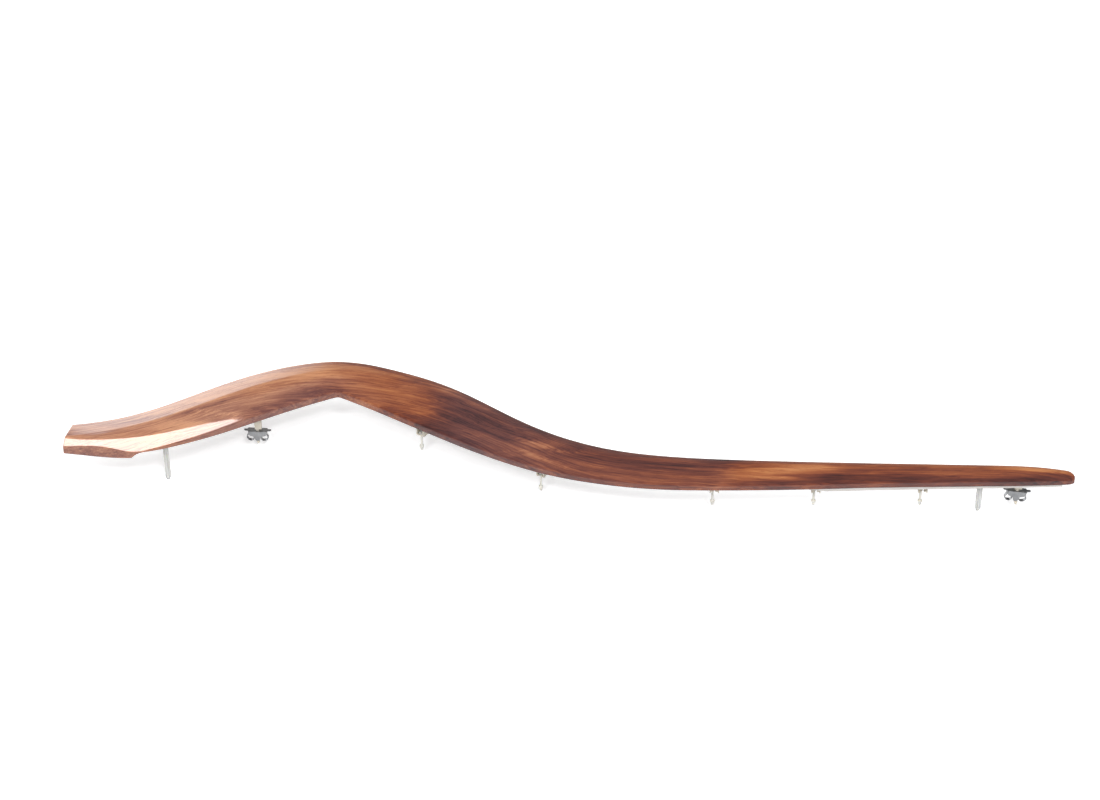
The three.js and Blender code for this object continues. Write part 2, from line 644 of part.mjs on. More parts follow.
// ---------------------------------------------------------------------------
// Assembly
// ---------------------------------------------------------------------------
const LOOK = {
  wood: { color: 0x8a4a2a, roughness: 0.12, metalness: 0 },
  carrier: { color: 0xd9d2cf, roughness: 0.55, metalness: 0 },
  dock: { color: 0xcdbfa6, roughness: 0.5, metalness: 0 },
  nylon: { color: 0xe9e6dc, roughness: 0.4, metalness: 0 },
  post: { color: 0xe6e8e4, roughness: 0.35, metalness: 0 },
  steel: { color: 0x4c4f52, roughness: 0.35, metalness: 0.9 },
  screw: { color: 0xb9bcc0, roughness: 0.3, metalness: 1 },
};

const group = new THREE.Group();
group.name = "grab_rail";

function addPiece(name, body, look) {
  const material = new THREE.MeshStandardMaterial({ ...look, flatShading: true });
  const mesh = new THREE.Mesh(geometry(body), material);
  mesh.name = name;
  group.add(mesh);
}
function addScrewPair(name, length, spots, seat) {
  spots.forEach(([x, y], i) => {
    addPiece(name + "ab"[i], screw(length, x, y, seat), LOOK.screw);
  });
}

addPiece("wood_cap", woodCap(), LOOK.wood);
addPiece("backing_carrier", backingCarrier(), LOOK.carrier);
CAP_SCREWS.forEach((x, i) => {
  const body = screw(CAP_SCREW_LENGTH, x, midY(x), webUnder(x) - SEAT_DEPTH);
  addPiece(`cap_screw_${i + 1}`, body, LOOK.screw);
});
POSTS.forEach(([x, y], i) => addPiece(`locating_post_${i + 1}`, locatingPost(x, y), LOOK.post));
PINS.forEach((pin, i) => {
  const seat = dockTop(pin.x) - EAR;
  addPiece(`pin_dock_${i + 1}`, pinDock(pin), LOOK.dock);
  addScrewPair(`dock_screw_${i + 1}`, DOCK_SCREW_LENGTH, dockScrewSpots(pin), seat);
  addPiece(`snap_pin_${i + 1}`, snapPin(pin), LOOK.nylon);
});
TOWERS.forEach((tower, i) => {
  const seat = bossFace(tower.x) - JOINT - TOWER_FLANGE;
  addScrewPair(`tower_screw_${i + 1}`, TOWER_SCREW_LENGTH, towerScrewSpots(tower), seat);
  addPiece(`clip_tower_${i + 1}`, clipTower(tower), LOOK.dock);
  addPiece(`spring_clip_${i + 1}`, springClip(tower), LOOK.steel);
});

const bounds = new THREE.Box3().setFromObject(group);
const middle = bounds.getCenter(new THREE.Vector3());
group.position.set(-middle.x, -middle.y, -bounds.min.z);
group.updateMatrixWorld(true);

export default group;
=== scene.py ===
import json
import math

import bmesh
import bpy
import numpy as np
from mathutils import Matrix, Vector, noise

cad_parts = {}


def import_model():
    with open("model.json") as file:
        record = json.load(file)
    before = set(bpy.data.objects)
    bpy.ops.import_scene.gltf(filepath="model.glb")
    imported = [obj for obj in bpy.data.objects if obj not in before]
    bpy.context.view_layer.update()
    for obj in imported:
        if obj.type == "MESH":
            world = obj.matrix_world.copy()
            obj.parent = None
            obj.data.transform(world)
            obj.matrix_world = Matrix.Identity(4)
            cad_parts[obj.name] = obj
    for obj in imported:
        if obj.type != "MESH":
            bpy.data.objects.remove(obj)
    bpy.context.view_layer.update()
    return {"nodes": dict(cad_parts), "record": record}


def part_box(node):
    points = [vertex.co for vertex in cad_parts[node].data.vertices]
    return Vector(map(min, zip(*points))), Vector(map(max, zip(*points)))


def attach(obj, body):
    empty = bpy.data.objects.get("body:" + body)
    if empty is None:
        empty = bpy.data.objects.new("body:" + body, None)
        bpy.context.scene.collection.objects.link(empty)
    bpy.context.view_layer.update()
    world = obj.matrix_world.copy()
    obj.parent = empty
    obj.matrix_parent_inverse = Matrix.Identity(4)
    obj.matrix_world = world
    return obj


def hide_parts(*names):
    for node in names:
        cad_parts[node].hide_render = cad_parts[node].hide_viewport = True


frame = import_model()
RECORD = frame["record"]
MM = 0.001
# The tables below are laid out from the rim; the row's origin lies under the middle.
POST = next(m for m in RECORD["mounts"] if m["name"] == "post_tip_1")["pos_m"]
O = Vector(POST) - Vector((-0.3936, 0.0680, -0.0373))

# ----------------------------------------------------------------------------
# The cap's section tables, millimetres in the row frame: the CAD's own numbers.
# ----------------------------------------------------------------------------
WALL = 4.5
END_LEFT, END_RIGHT = -488.2, 480.6
RAISE, LIP_DROP = 8.5, 5.6
BACK = [[-506, 87.6], [-491, 88.3], [-475, 90.5], [-460, 93.7], [-445, 98.1], [-430, 104.0], [-415, 111.4], [-400, 120.3], [-385, 130.2], [-370, 140.6], [-355, 151.0], [-340, 161.0], [-325, 170.1], [-310, 178.1], [-295, 185.0], [-280, 190.8], [-265, 195.4], [-250, 198.6], [-235, 200.0], [-220, 199.1], [-205, 196.2], [-190, 191.6], [-175, 186.1], [-160, 180.0], [-145, 173.1], [-130, 165.1], [-115, 155.6], [-100, 144.6], [-85, 132.4], [-70, 119.6], [-55, 106.9], [-40, 95.1], [-25, 84.6], [-10, 75.4], [5, 67.6], [20, 61.0], [35, 55.6], [50, 51.2], [65, 47.8], [80, 45.2], [95, 43.1], [110, 41.5], [125, 40.2], [140, 39.2], [170, 37.5], [200, 36.2], [230, 35.1], [260, 34.2], [290, 33.3], [320, 32.6], [350, 31.8], [380, 31.0], [410, 30.3], [425, 29.8], [440, 28.9], [455, 27.1], [470, 24.2], [485, 20.4]]
FRONT_LEFT = [[-506, 58.2], [-493, 56.0], [-480, 53.9], [-465, 51.4], [-450, 49.2], [-436, 47.9], [-424, 48.0], [-412, 49.9], [-398, 53.9], [-382, 60.4], [-366, 68.0], [-350, 76.5], [-334, 85.7], [-318, 95.5], [-302, 105.7], [-286, 116.0], [-270, 126.1], [-254, 135.7], [-240, 143.7], [-231, 148.7], [-215, 157.5]]
FRONT_RIGHT = [[-250, 159.9], [-234, 150.7], [-220, 142.3], [-205, 133.2], [-190, 123.7], [-175, 113.8], [-160, 103.8], [-145, 93.8], [-130, 83.9], [-115, 74.0], [-100, 64.5], [-85, 55.4], [-70, 46.7], [-55, 38.5], [-40, 31.1], [-25, 24.6], [-10, 19.1], [5, 14.4], [20, 10.5], [35, 7.1], [50, 4.3], [65, 2.2], [80, 0.6], [95, -0.5], [110, -1.0], [125, -1.2], [155, -1.2], [185, -0.8], [215, 0.0], [245, 1.3], [275, 2.7], [305, 3.6], [335, 4.3], [365, 4.8], [395, 5.3], [425, 5.8], [455, 6.9], [485, 8.3]]
LOW_CREASE_V = [[-493, 7.2], [-484, 7.0], [-470, 6.4], [-455, 6.6], [-440, 9.0], [-431, 11.1], [-422, 13.2], [-411, 12.9], [-402, 12.0], [-383, 10.9], [-365, 10.0], [-347, 8.6], [-329, 6.4], [-315, 5.0], [-290, 4.6], [-250, 5.0], [-150, 5.5], [0, 5.0], [200, 4.5], [485, 3.6]]
LOW_CREASE_Z = [[-493, 6.4], [-484, 6.8], [-470, 8.8], [-455, 10.2], [-440, 10.5], [-431, 9.9], [-422, 9.2], [-411, 9.5], [-402, 10.0], [-383, 10.6], [-365, 10.9], [-347, 10.9], [-329, 10.6], [-315, 9.9], [-290, 9.3], [-250, 9.0], [-200, 8.8], [-100, 8.3], [0, 8.0], [200, 7.6], [440, 7.2], [485, 6.6]]
WALL_TOP_Z = [[-493, 1.9], [-484, 2.2], [-476, 3.9], [-468, 5.2], [-452, 6.2], [-440, 4.6], [-431, 2.3], [-424, 0.2], [-418, -0.2], [-411, 0.7], [-402, 1.9], [-383, 3.4], [-365, 4.3], [-347, 5.6], [-329, 7.0], [-315, 7.7], [-290, 8.0], [-250, 7.7], [-200, 7.4], [-100, 6.9], [0, 6.6], [200, 6.4], [440, 6.0], [485, 5.4]]
HIGH_CREASE_V = [[-493, 25.6], [-460, 25.0], [-400, 25.0], [-300, 26.0], [-235, 21.0], [-200, 18.0], [-150, 16.0], [-50, 14.0], [50, 11.0], [150, 8.5], [300, 7.5], [440, 7.0], [485, 4.0]]
HIGH_CREASE_Z = [[-493, 7.0], [-470, 8.4], [-440, 10.2], [-400, 10.9], [-300, 12.2], [-200, 12.4], [0, 11.6], [250, 10.3], [420, 9.3], [485, 8.0]]
BACK_Z = [[-493, 5.0], [-400, 5.6], [-300, 7.4], [-200, 9.0], [0, 9.0], [250, 8.0], [420, 7.4], [485, 6.2]]
SOFT_LOW = [[-493, 0.9], [-380, 1.2], [-330, 2.2], [-290, 3.0], [485, 2.6]]
SOFT_HIGH = [[-493, 1.2], [-330, 1.6], [-270, 3.5], [-200, 6.0], [0, 6.0], [200, 4.0], [485, 3.0]]
CEILING_Z = [[-493, 2.0], [-380, 2.0], [-300, 3.6], [-200, 4.4], [0, 4.4], [485, 4.0]]


def spline(table):
    """Natural cubic through the table, straight on past its ends."""
    t = np.array(table, float)
    x, y = t[:, 0], t[:, 1]
    n = len(x)
    h = np.diff(x)
    A, r = np.eye(n), np.zeros(n)
    for i in range(1, n - 1):
        A[i, i - 1], A[i, i], A[i, i + 1] = h[i - 1], 2 * (h[i - 1] + h[i]), h[i]
        r[i] = 6 * ((y[i + 1] - y[i]) / h[i] - (y[i] - y[i - 1]) / h[i - 1])
    m = np.linalg.solve(A, r)

    def f(q):
        q = np.asarray(q, float)
        c = np.clip(q, x[0], x[-1])
        i = np.clip(np.searchsorted(x, c) - 1, 0, n - 2)
        hh = h[i]
        a, b = (x[i + 1] - c) / hh, (c - x[i]) / hh
        v = a * y[i] + b * y[i + 1] + ((a**3 - a) * m[i] + (b**3 - b) * m[i + 1]) * hh**2 / 6
        s0 = (y[1] - y[0]) / h[0] - m[1] * h[0] / 6
        s1 = (y[-1] - y[-2]) / h[-1] + m[-2] * h[-1] / 6
        return v + np.where(q < x[0], s0 * (q - x[0]), 0) + np.where(q > x[-1], s1 * (q - x[-1]), 0)

    return f


def soft(table, s=12.0, extra=7.0):
    t = np.array(table, float)
    g = np.arange(-540, 541, 1.0)
    f = lambda q: np.interp(q, t[:, 0], t[:, 1])
    v = (f(g - s) + 2 * f(g - s / 2) + 2 * f(g) + 2 * f(g + s / 2) + f(g + s)) / 8
    k = np.exp(-0.5 * (np.arange(-30, 31) / extra) ** 2)
    v = np.convolve(np.pad(v, 30, mode="edge"), k / k.sum(), "valid")
    return lambda q: np.interp(q, g, v)


def smooth(a, b, q):
    t = np.clip((np.asarray(q, float) - a) / (b - a), 0, 1)
    return t * t * (3 - 2 * t)


back_y, fl, fr = spline(BACK), spline(FRONT_LEFT), spline(FRONT_RIGHT)


def front_y(x):
    a, b = fl(x), fr(x)
    k = 0.5 * (a + b - np.sqrt((a - b) ** 2 + 2.2**2))
    return np.where(np.asarray(x) < -250, a, np.where(np.asarray(x) > -215, b, k))


mid_y = lambda x: 0.5 * (front_y(x) + back_y(x))
rise = lambda x: RAISE * (1 - smooth(-430, -60, x))
low_v, low_z, wall_z = soft(LOW_CREASE_V), soft(LOW_CREASE_Z), soft(WALL_TOP_Z, 4, 3)
high_v, high_z, back_z = soft(HIGH_CREASE_V, 20), soft(HIGH_CREASE_Z, 20), soft(BACK_Z, 20)
soft_low, soft_high, ceiling_z = soft(SOFT_LOW), soft(SOFT_HIGH), soft(CEILING_Z)
lip_z = lambda x: -LIP_DROP * (1 - np.clip((np.asarray(x, float) + 423.5) / 15, 0, 1)) ** 3 - 0.7 * (1 - smooth(-350, -300, x))


def cross(x):
    """Cross lines of the plan at centreline stations x."""
    x = np.asarray(x, float)
    slope = np.arctan2(mid_y(x + 14) - mid_y(x - 14), 28)
    t = smooth(-487, -425, x)
    phi = -slope * t + (1 - t) * 0.15
    dx, dy, y0 = np.sin(phi), np.cos(phi), mid_y(x)

    def solve(f, lo, hi):
        lo, hi = np.full_like(x, lo), np.full_like(x, hi)
        for _ in range(46):
            m = (lo + hi) / 2
            below = y0 + dy * m < f(x + dx * m)
            lo, hi = np.where(below, m, lo), np.where(below, hi, m)
        return (lo + hi) / 2

    a, b = solve(front_y, -60, 0), solve(back_y, 0, 60)
    return x + dx * a, y0 + dy * a, dx, dy, b - a


def new_object(name, verts, faces, body, smooth_angle=35):
    me = bpy.data.meshes.new(name)
    me.from_pydata([tuple(v) for v in verts], [], faces)
    me.validate(verbose=False)
    bm = bmesh.new()
    bm.from_mesh(me)
    bmesh.ops.remove_doubles(bm, verts=bm.verts, dist=1e-7)
    bmesh.ops.recalc_face_normals(bm, faces=bm.faces)
    bm.to_mesh(me)
    bm.free()
    me.polygons.foreach_set("use_smooth", [True] * len(me.polygons))
    me.set_sharp_from_angle(angle=math.radians(smooth_angle))
    ob = bpy.data.objects.new(name, me)
    bpy.context.scene.collection.objects.link(ob)
    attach(ob, body)
    return ob


# ----------------------------------------------------------------------------
# Hardwood cap
# ----------------------------------------------------------------------------
def cap_stations():
    xs = [END_LEFT + d for d in (0.0, 0.25, 0.6, 1.2, 2.0, 3.0, 4.2)]
    x = END_LEFT + 5
    i0 = len(xs)
    while x < 462.9:
        xs.append(x)
        p = 2.6
        if -436 < x < -408: p = 0.9
        elif -256 < x < -206: p = 1.5
        elif x < -480: p = 1.2
        x += p
    xs.append(463.0)
    i1 = len(xs) - 1
    x = 465.0
    while x < END_RIGHT - 8:
        xs.append(x)
        x += 2.0
    xs += [END_RIGHT - d for d in (8, 6.8, 5.6, 4.5, 3.5, 2.6, 1.9, 1.3, 0.85, 0.5, 0.25, 0.1, 0.0)]
    return np.array(xs), i0, i1


def build_cap():
    xs, i0, i1 = cap_stations()
    px, py, dx, dy, w = cross(xs)
    n = len(xs)
    rows = []
    info = []
    for i, x in enumerate(xs):
        xf, xb = px[i], px[i] + dx[i] * w[i]
        a, b, drop = 0.0, w[i], 0.0
        e0 = (x - END_LEFT) / 1.2
        if e0 < 1:  # small round at the left end
            k = 1 - math.sqrt(max(0.0, 1 - (1 - e0) ** 2))
            a += 0.7 * k; b -= 0.7 * k; drop += 0.9 * k
        e = x - (END_RIGHT - 8)
        if e > 0:
            k = 8 - math.sqrt(max(0.0, 64 - e * e))
            a += 0.45 * k; b -= 0.75 * k; drop += 0.30 * k
        v1 = a + float(low_v(xf)) * min(1.0, (b - a) / 14)
        v2 = b - min(float(high_v(xb)), 0.72 * (b - a))
        va = min(v1, v2 - 1.5) if b - a > 6 else a + 0.3 * (b - a)
        if b - a <= 6: v2 = a + 0.55 * (b - a)
        lip = float(lip_z(xf))
        c = min(0.45, 0.2 * (b - a))
        P = [(a, lip + c), (a + 0.35, float(wall_z(xf)) - drop), (va, float(low_z(xf)) - drop),
             (v2, float(high_z(xb)) - drop), (b - 0.3, float(back_z(xb)) - drop), (b, c)]
        T = [0, 0.8 + 2.4 * float(smooth(-340, -270, xf)), float(soft_low(xf)), float(soft_high(xb)), 1.8, 0]
        N = 7
        seq = [(a + c, lip), (a + 0.29 * c, lip + 0.29 * c)]
        # softened corners, then samples along the straight runs between them
        ends = [(P[0], P[0])]
        arcs = [[P[0]]]
        for j in range(1, 5):
            p, q, r = P[j], P[j - 1], P[j + 1]
            la, lb = math.dist(p, q), math.dist(p, r)
            ra, rb = min(T[j], 0.46 * la), min(T[j], 0.46 * lb)
            s = (p[0] + (q[0] - p[0]) * ra / la, p[1] + (q[1] - p[1]) * ra / la)
            t = (p[0] + (r[0] - p[0]) * rb / lb, p[1] + (r[1] - p[1]) * rb / lb)
            arc = []
            for k in range(N + 1):
                u = k / N
                arc.append(((1 - u) ** 2 * s[0] + 2 * u * (1 - u) * p[0] + u * u * t[0],
                            (1 - u) ** 2 * s[1] + 2 * u * (1 - u) * p[1] + u * u * t[1]))
            arcs.append(arc)
        arcs.append([P[5]])
        fill = [2, 4, 9, 6, 2]
        bulge = [0, 0.04, 0.30, 0.18, 0]
        for j, arc in enumerate(arcs):
            seq += arc
            if j < 5:
                s, t = arc[-1], arcs[j + 1][0]
                L = math.dist(s, t)
                nx, nz = -(t[1] - s[1]) / max(L, 1e-6), (t[0] - s[0]) / max(L, 1e-6)
                bb = bulge[j] * min(1.0, L / 12)
                for k in range(1, fill[j] + 1):
                    u = k / (fill[j] + 1)
                    h = bb * 4 * u * (1 - u)
                    seq.append((s[0] + (t[0] - s[0]) * u + nx * h, s[1] + (t[1] - s[1]) * u + nz * h))
        seq += [(b - 0.29 * c, 0.29 * c), (b - c, 0.0)]
        ins = min(WALL, 0.36 * (b - a) + 0.0)
        zin = lambda v: lip + (0 - lip) * (v - a) / (b - a)
        low = [(b - ins, zin(b - ins)), (a + ins, zin(a + ins))]
        top = [(b - ins, float(ceiling_z(x))), (a + ins, float(ceiling_z(x)))]
        rows.append((seq, low, top))
        info.append((a, b))

    def world(i, v, z):
        X = px[i] + dx[i] * v
        return (X * MM + O.x, (py[i] + dy[i] * v) * MM + O.y, (z + float(rise(X))) * MM + O.z)

    verts, faces = [], []
    m = len(rows[0][0])
    idx = []
    for i, (seq, low, top) in enumerate(rows):
        base = len(verts)
        verts += [world(i, v, z) for v, z in seq]
        lo = len(verts)
        verts += [world(i, v, z) for v, z in low]
        hi = None
        if i0 <= i <= i1:
            hi = len(verts)
            verts += [world(i, v, z) for v, z in top]
        idx.append((base, lo, hi))
    for i in range(n - 1):
        (b0, l0, h0), (b1, l1, h1) = idx[i], idx[i + 1]
        for k in range(m - 1):
            faces.append((b0 + k, b0 + k + 1, b1 + k + 1, b1 + k))
        faces.append((b0 + m - 1, l0, l1, b1 + m - 1))      # rim under the far wall
        faces.append((l0 + 1, b0, b1, l1 + 1))              # rim under the near wall
        if i0 <= i < i1:
            faces.append((l0, h0, h1, l1))
            faces.append((h0, h0 + 1, h1 + 1, h1))
            faces.append((h0 + 1, l0 + 1, l1 + 1, h1 + 1))
        else:
            faces.append((l0, l0 + 1, l1 + 1, l1))
    for i in (i0, i1):
        _, l, h = idx[i]
        faces.append((l, h, h + 1, l + 1))
    for i in (0, n - 1):
        b, l, _ = idx[i]
        ring = list(range(b, b + m)) + [l, l + 1]
        o = len(verts)
        verts.append(tuple(np.mean([verts[q] for q in ring], axis=0)))
        for k in range(len(ring)):
            faces.append((ring[k], ring[(k + 1) % len(ring)], o))
    ob = new_object("hardwood_cap", verts, faces, "rail")
    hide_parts("wood_cap")
    return ob


# Colour zones of the timber: darkness along the rail, then patches
# (x mm, place across 0 near edge .. 1 far edge, half length mm, half width, lean, amount).
# The two patches at place -0.01 are painted shade on the near wall under the highlight at the wide end.
DARKNESS = [[-490, .20], [-430, .10], [-400, .05], [-372, .07], [-340, .08], [-300, .04], [-260, .07], [-230, .18], [-190, .28], [-160, .40], [-138, .48], [-124, .64], [-60, .72], [-20, .66], [40, .64], [120, .60], [148, .56], [160, .34], [236, .32], [264, .55], [330, .55], [352, .47], [440, .42], [480, .5]]
PATCHES = [
    (-308, 0.13, 50, 0.20, 0.0, 0.30), (-262, 0.20, 26, 0.12, 0.0, 0.16), (-350, 0.30, 26, 0.10, 0.0, 0.10),
    (-352, 0.50, 36, 0.045, 0.0, 0.30), (-300, 0.42, 40, 0.03, 0.0, 0.14), (-418, 0.68, 28, 0.06, 0.0, 0.36),
    (-330, 0.62, 30, 0.03, 0.0, 0.10), (-468, 0.40, 40, 0.10, 0.0, 0.22), (-455, 0.80, 26, 0.10, 0.0, 0.10),
    (-215, 0.885, 46, 0.022, 0.0, 0.40), (-196, 0.985, 34, 0.035, 0.0, 0.62), (-262, 0.93, 40, 0.03, 0.0, 0.18),
    (-235, 0.05, 60, 0.06, 0.0, 0.20), (-140, 0.06, 34, 0.10, 0.0, 0.20), (-118, 0.50, 18, 0.18, 0.0, 0.04),
    (-27, 0.52, 17, 0.075, 0.002, -0.42), (-30, 0.22, 14, 0.07, 0.0, -0.36), (-62, 0.20, 24, 0.16, 0.0, -0.12),
    (-92, 0.82, 34, 0.06, 0.0, -0.10), (-38, 0.90, 44, 0.06, 0.0, 0.10), (-88, 0.36, 34, 0.05, 0.0, 0.14),
    (-112, 0.66, 22, 0.05, 0.0, 0.14), (-60, 0.60, 34, 0.04, 0.0, 0.12), (70, 0.62, 60, 0.05, 0.0, 0.14),
    (40, 0.30, 60, 0.10, 0.0, -0.06), (100, 0.24, 34, 0.10, 0.0, -0.06), (30, 0.10, 50, 0.07, 0.0, -0.12),
    (186, 0.42, 30, 0.16, 0.004, -0.16), (225, 0.56, 26, 0.14, 0.0, -0.14), (222, 0.84, 30, 0.12, 0.0, 0.05),
    (160, 0.88, 24, 0.13, 0.0, 0.24), (182, 0.64, 34, 0.035, 0.0, 0.26), (210, 0.70, 30, 0.03, 0.0, 0.16),
    (200, 0.06, 46, 0.12, 0.0, 0.26), (240, 0.22, 24, 0.16, 0.0, 0.20), (300, 0.50, 44, 0.035, 0.0, -0.08),
    (318, 0.84, 34, 0.14, 0.0, -0.18), (356, 0.80, 18, 0.16, 0.0, -0.14), (364, 0.46, 24, 0.12, 0.0, -0.08),
    (400, 0.80, 44, 0.16, 0.0, -0.10), (446, 0.80, 28, 0.18, 0.0, -0.34), (395, 0.14, 70, 0.16, 0.0, 0.20),
    (455, 0.28, 24, 0.18, 0.0, 0.14), (340, 0.22, 26, 0.2, 0.0, 0.06), (418, 0.50, 34, 0.05, 0.0, 0.18), (424, 0.02, 44, 0.12, 0.0, 0.24),
    (198, 0.34, 26, 0.016, 0.0, 0.26), (216, 0.76, 22, 0.018, 0.0, 0.22), (190, 0.80, 26, 0.014, 0.0, 0.20), (232, 0.44, 20, 0.014, 0.0, 0.20),
    (208, 0.52, 34, 0.016, 0.0, 0.18), (446, 0.60, 30, 0.12, 0.0, -0.24), (218, 0.88, 20, 0.06, 0.0, 0.12), (298, 0.10, 30, 0.14, 0.0, 0.12), (-392, 0.43, 30, 0.04, 0.0, 0.10), (280, 0.66, 34, 0.10, 0.0, -0.10), (-372, 0.50, 44, 0.030, 0.0, 0.12),
    # painted shade: the patches at place -0.01 darken the near wall under the highlight at the wide end
    (-256, 0.10, 26, 0.12, 0.0, 0.12), (-458, -0.01, 44, 0.03, 0.0, 0.34), (-368, -0.01, 62, 0.03, 0.0, 0.26), (-150, 0.30, 16, 0.10, 0.0, -0.12),
]


def paint_cap(ob):
    """Stores the timber's figure on the cap, with painted shade on the near wall at the wide end: how dark it is, and
    how red or violet.
    """
    me = ob.data
    co = np.zeros(len(me.vertices) * 3)
    me.vertices.foreach_get("co", co)
    co = (co.reshape(-1, 3) - np.array(O)) / MM
    X, Y = co[:, 0], co[:, 1]
    f, b = front_y(X), back_y(X)
    t = np.clip((Y - f) / np.maximum(b - f, 4), 0, 1)
    fbm = np.array([[noise.fractal(Vector((x * 0.012 + 3, y * 0.085, 0.7)), 1.0, 2.1, 4),
                     noise.fractal(Vector((x * 0.030 + 9, y * 0.21, 5.2)), 0.9, 2.1, 4),
                     noise.fractal(Vector((x * 0.006 - 4, y * 0.03, 2.2)), 1.0, 2.0, 3)] for x, y, _ in co])
    # interlocked grain: neighbouring bands across the rail start and stop at different places
    comb = np.array([noise.fractal(Vector((x * 0.004 + 21, y * 0.42, 8.1)), 0.8, 2.0, 3) for x, y, _ in co])
    xw = X + 9 * fbm[:, 0] + 5 * fbm[:, 1] + 16 * comb * smooth(-160, -90, X)
    tw = t + 0.035 * fbm[:, 0]
    D = np.array(DARKNESS, float)
    lean = 26 * (t - 0.5)   # zone borders lean along the rail
    d = np.interp(xw - lean, D[:, 0], D[:, 1])
    for (x0, t0, sx, st, k, amount) in PATCHES:
        u = (xw - x0) / sx
        v = (tw - t0 - k * (xw - x0)) / st
        g = np.exp(-np.clip(u * u, 0, 50) ** 1.15 * 0.7 - np.clip(v * v, 0, 50) ** 1.1 * 0.7)
        d = d + amount * g
    d = d + 0.10 * fbm[:, 0] + 0.06 * fbm[:, 1]
    violet = np.interp(X, [-490, -330, -260, -225, -180, -140, -110, -40, 20, 140, 160, 480], [.85, .8, .6, .35, .12, .2, .75, .65, .35, .35, .05, .15])
    violet = np.clip(violet + 0.5 * np.exp(-((X + 285) / 60) ** 2) * (1 - smooth(0.3, 0.5, t)) + 0.22 * fbm[:, 2], 0, 1)
    # the grain follows the outer edge of the rail
    for name, val in (("figure", d), ("violet", violet), ("course", -0.82 * b * MM)):
        at = me.attributes.new(name, "FLOAT", "POINT")
        at.data.foreach_set("value", val.astype(np.float32))


# ----------------------------------------------------------------------------
# Materials
# ----------------------------------------------------------------------------
class Tree:
    def __init__(self, name):
        self.mat = bpy.data.materials.new(name)
        self.mat.use_nodes = True
        self.nt = self.mat.node_tree
        self.nt.nodes.clear()

    def node(self, kind, **kw):
        n = self.nt.nodes.new(kind)
        for k, v in kw.items():
            if k.startswith("_"):
                setattr(n, k[1:], v)
        return n

    def link(self, a, b):
        self.nt.links.new(a, b)

    def val(self, sock, v):
        if hasattr(v, "is_output") or isinstance(v, bpy.types.NodeSocket):
            self.link(v, sock)
        else:
            sock.default_value = v

    def math(self, op, a, b=None, c=None, clamp=False):
        n = self.nt.nodes.new("ShaderNodeMath")
        n.operation = op
        n.use_clamp = clamp
        for i, v in enumerate((a, b, c)):
            if v is not None:
                self.val(n.inputs[i], v)
        return n.outputs[0]

    def vmul(self, v, s):
        n = self.nt.nodes.new("ShaderNodeVectorMath")
        n.operation = "MULTIPLY"
        self.val(n.inputs[0], v)
        n.inputs[1].default_value = s
        return n.outputs[0]

    def vadd(self, v, w):
        n = self.nt.nodes.new("ShaderNodeVectorMath")
        n.operation = "ADD"
        self.val(n.inputs[0], v)
        self.val(n.inputs[1], w)
        return n.outputs[0]

    def noise(self, vec, scale=1.0, detail=3.0, rough=0.55, distortion=0.0, kind="Fac"):
        n = self.nt.nodes.new("ShaderNodeTexNoise")
        self.val(n.inputs["Vector"], vec)
        n.inputs["Scale"].default_value = scale
        n.inputs["Detail"].default_value = detail
        n.inputs["Roughness"].default_value = rough
        n.inputs["Distortion"].default_value = distortion
        return n.outputs[0] if kind == "Fac" else n.outputs[1]

    def ramp(self, fac, stops, mode="LINEAR"):
        n = self.nt.nodes.new("ShaderNodeValToRGB")
        n.color_ramp.interpolation = mode
        self.val(n.inputs[0], fac)
        el = n.color_ramp.elements
        el[0].position, el[0].color = stops[0][0], (*stops[0][1], 1)
        el[1].position, el[1].color = stops[-1][0], (*stops[-1][1], 1)
        for p, c in stops[1:-1]:
            e = el.new(p)
            e.color = (*c, 1)
        return n.outputs[0]

    def mix(self, fac, a, b, blend="MIX"):
        n = self.nt.nodes.new("ShaderNodeMix")
        n.data_type = "RGBA"
        n.blend_type = blend
        self.val(n.inputs[0], fac)
        self.val(n.inputs[6], a)
        self.val(n.inputs[7], b)
        return n.outputs[2]

    def attr(self, name):
        n = self.nt.nodes.new("ShaderNodeAttribute")
        n.attribute_name = name
        return n.outputs["Fac"]

    def coords(self):
        return self.nt.nodes.new("ShaderNodeTexCoord").outputs["Object"]

    def bump(self, height, strength, distance):
        n = self.nt.nodes.new("ShaderNodeBump")
        n.inputs["Strength"].default_value = strength
        n.inputs["Distance"].default_value = distance
        self.val(n.inputs["Height"], height)
        return n.outputs[0]

    def finish(self, **inputs):
        p = self.nt.nodes.new("ShaderNodeBsdfPrincipled")
        for k, v in inputs.items():
            self.val(p.inputs[k.replace("_", " ")], v)
        out = self.nt.nodes.new("ShaderNodeOutputMaterial")
        self.link(p.outputs[0], out.inputs[0])
        return self.mat


def grey(v):
    return (v, v, v)


